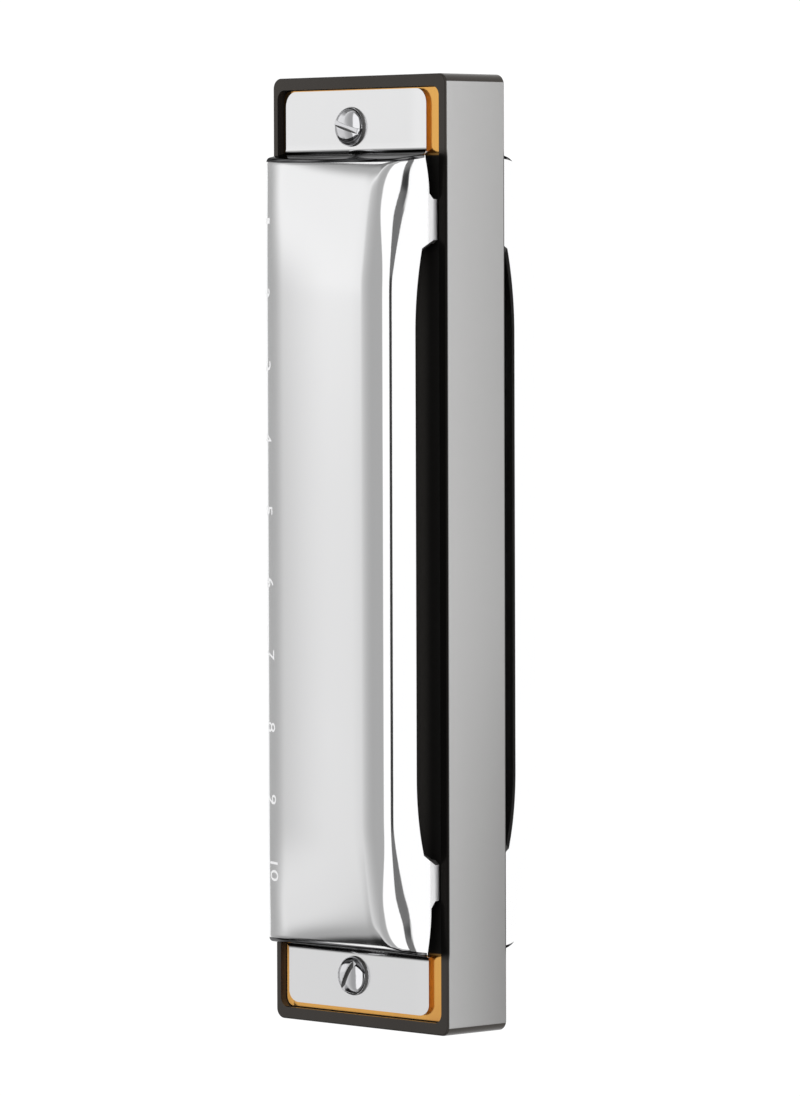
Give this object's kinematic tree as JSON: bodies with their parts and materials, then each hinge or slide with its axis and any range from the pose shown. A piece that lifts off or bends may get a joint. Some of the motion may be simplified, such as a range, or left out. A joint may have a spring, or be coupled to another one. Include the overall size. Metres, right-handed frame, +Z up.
{
  "type": "harmonica",
  "caption": "Diatonic harmonica with a recessed moulded comb, brass reed plates with swinging reeds, and domed bright covers held by through screws.",
  "frame": {"origin": "centre of the comb", "axes": "+X along the length from hole 1 (low) to hole 10 (high), +Y from the mouth side to the back, +Z up towards the blow side and the top cover"},
  "size_m": [0.102, 0.027, 0.0238],
  "materials": {
    "comb_plastic": "moulded, satin, with a satin grey band on the back face",
    "plate_brass": "milled and polished",
    "reed_brass": "rolled and filed",
    "rivet_brass": "turned",
    "plate_screw_steel": "plain",
    "cover_chrome": "drawn sheet, satin top with polished shoulders",
    "screw_chrome": "polished"
  },
  "bodies": {
    "harp": {"comb": "comb_plastic", "upper_reed_plate": "plate_brass", "lower_reed_plate": "plate_brass", "blow_reed_pads": "reed_brass", "draw_reed_pads": "reed_brass", "blow_reed_rivets": "rivet_brass", "draw_reed_rivets": "rivet_brass", "upper_plate_screws": "plate_screw_steel", "lower_plate_screws": "plate_screw_steel", "top_cover": "cover_chrome", "bottom_cover": "cover_chrome", "cover_screw_low_end": "screw_chrome", "cover_screw_high_end": "screw_chrome", "cover_nut_low_end": "screw_chrome", "cover_nut_high_end": "screw_chrome"},
    "blow_reed_01": {"blow_reed_01": "reed_brass"},
    "draw_reed_01": {"draw_reed_01": "reed_brass"},
    "blow_reed_02": {"blow_reed_02": "reed_brass"},
    "draw_reed_02": {"draw_reed_02": "reed_brass"},
    "blow_reed_03": {"blow_reed_03": "reed_brass"},
    "draw_reed_03": {"draw_reed_03": "reed_brass"},
    "blow_reed_04": {"blow_reed_04": "reed_brass"},
    "draw_reed_04": {"draw_reed_04": "reed_brass"},
    "blow_reed_05": {"blow_reed_05": "reed_brass"},
    "draw_reed_05": {"draw_reed_05": "reed_brass"},
    "blow_reed_06": {"blow_reed_06": "reed_brass"},
    "draw_reed_06": {"draw_reed_06": "reed_brass"},
    "blow_reed_07": {"blow_reed_07": "reed_brass"},
    "draw_reed_07": {"draw_reed_07": "reed_brass"},
    "blow_reed_08": {"blow_reed_08": "reed_brass"},
    "draw_reed_08": {"draw_reed_08": "reed_brass"},
    "blow_reed_09": {"blow_reed_09": "reed_brass"},
    "draw_reed_09": {"draw_reed_09": "reed_brass"},
    "blow_reed_10": {"blow_reed_10": "reed_brass"},
    "draw_reed_10": {"draw_reed_10": "reed_brass"}
  },
  "joints": [
    {"name": "blow_reed_01_swing", "type": "hinge", "parent": "harp", "child": "blow_reed_01", "pos_m": [-0.0351, -0.0071, 0.00233], "axis": [1, 0, 0], "range_deg": [-3, 3], "stiffness_Nm_per_rad": 0.02},
    {"name": "draw_reed_01_swing", "type": "hinge", "parent": "harp", "child": "draw_reed_01", "pos_m": [-0.0351, -0.0071, -0.00373], "axis": [1, 0, 0], "range_deg": [-3, 3], "stiffness_Nm_per_rad": 0.02},
    {"name": "blow_reed_02_swing", "type": "hinge", "parent": "harp", "child": "blow_reed_02", "pos_m": [-0.0273, -0.0071, 0.00233], "axis": [1, 0, 0], "range_deg": [-3, 3], "stiffness_Nm_per_rad": 0.02},
    {"name": "draw_reed_02_swing", "type": "hinge", "parent": "harp", "child": "draw_reed_02", "pos_m": [-0.0273, -0.0071, -0.00373], "axis": [1, 0, 0], "range_deg": [-3, 3], "stiffness_Nm_per_rad": 0.02},
    {"name": "blow_reed_03_swing", "type": "hinge", "parent": "harp", "child": "blow_reed_03", "pos_m": [-0.0195, -0.0071, 0.00233], "axis": [1, 0, 0], "range_deg": [-3, 3], "stiffness_Nm_per_rad": 0.02},
    {"name": "draw_reed_03_swing", "type": "hinge", "parent": "harp", "child": "draw_reed_03", "pos_m": [-0.0195, -0.0071, -0.00373], "axis": [1, 0, 0], "range_deg": [-3, 3], "stiffness_Nm_per_rad": 0.02},
    {"name": "blow_reed_04_swing", "type": "hinge", "parent": "harp", "child": "blow_reed_04", "pos_m": [-0.0117, -0.0071, 0.00233], "axis": [1, 0, 0], "range_deg": [-3, 3], "stiffness_Nm_per_rad": 0.02},
    {"name": "draw_reed_04_swing", "type": "hinge", "parent": "harp", "child": "draw_reed_04", "pos_m": [-0.0117, -0.0071, -0.00373], "axis": [1, 0, 0], "range_deg": [-3, 3], "stiffness_Nm_per_rad": 0.02},
    {"name": "blow_reed_05_swing", "type": "hinge", "parent": "harp", "child": "blow_reed_05", "pos_m": [-0.0039, -0.0071, 0.00233], "axis": [1, 0, 0], "range_deg": [-3, 3], "stiffness_Nm_per_rad": 0.02},
    {"name": "draw_reed_05_swing", "type": "hinge", "parent": "harp", "child": "draw_reed_05", "pos_m": [-0.0039, -0.0071, -0.00373], "axis": [1, 0, 0], "range_deg": [-3, 3], "stiffness_Nm_per_rad": 0.02},
    {"name": "blow_reed_06_swing", "type": "hinge", "parent": "harp", "child": "blow_reed_06", "pos_m": [0.0039, -0.0071, 0.00233], "axis": [1, 0, 0], "range_deg": [-3, 3], "stiffness_Nm_per_rad": 0.02},
    {"name": "draw_reed_06_swing", "type": "hinge", "parent": "harp", "child": "draw_reed_06", "pos_m": [0.0039, -0.0071, -0.00373], "axis": [1, 0, 0], "range_deg": [-3, 3], "stiffness_Nm_per_rad": 0.02},
    {"name": "blow_reed_07_swing", "type": "hinge", "parent": "harp", "child": "blow_reed_07", "pos_m": [0.0117, -0.0071, 0.00233], "axis": [1, 0, 0], "range_deg": [-3, 3], "stiffness_Nm_per_rad": 0.02},
    {"name": "draw_reed_07_swing", "type": "hinge", "parent": "harp", "child": "draw_reed_07", "pos_m": [0.0117, -0.0071, -0.00373], "axis": [1, 0, 0], "range_deg": [-3, 3], "stiffness_Nm_per_rad": 0.02},
    {"name": "blow_reed_08_swing", "type": "hinge", "parent": "harp", "child": "blow_reed_08", "pos_m": [0.0195, -0.0071, 0.00233], "axis": [1, 0, 0], "range_deg": [-3, 3], "stiffness_Nm_per_rad": 0.02},
    {"name": "draw_reed_08_swing", "type": "hinge", "parent": "harp", "child": "draw_reed_08", "pos_m": [0.0195, -0.0071, -0.00373], "axis": [1, 0, 0], "range_deg": [-3, 3], "stiffness_Nm_per_rad": 0.02},
    {"name": "blow_reed_09_swing", "type": "hinge", "parent": "harp", "child": "blow_reed_09", "pos_m": [0.0273, -0.0071, 0.00233], "axis": [1, 0, 0], "range_deg": [-3, 3], "stiffness_Nm_per_rad": 0.02},
    {"name": "draw_reed_09_swing", "type": "hinge", "parent": "harp", "child": "draw_reed_09", "pos_m": [0.0273, -0.0071, -0.00373], "axis": [1, 0, 0], "range_deg": [-3, 3], "stiffness_Nm_per_rad": 0.02},
    {"name": "blow_reed_10_swing", "type": "hinge", "parent": "harp", "child": "blow_reed_10", "pos_m": [0.0351, -0.0071, 0.00233], "axis": [1, 0, 0], "range_deg": [-3, 3], "stiffness_Nm_per_rad": 0.02},
    {"name": "draw_reed_10_swing", "type": "hinge", "parent": "harp", "child": "draw_reed_10", "pos_m": [0.0351, -0.0071, -0.00373], "axis": [1, 0, 0], "range_deg": [-3, 3], "stiffness_Nm_per_rad": 0.02}
  ]
}
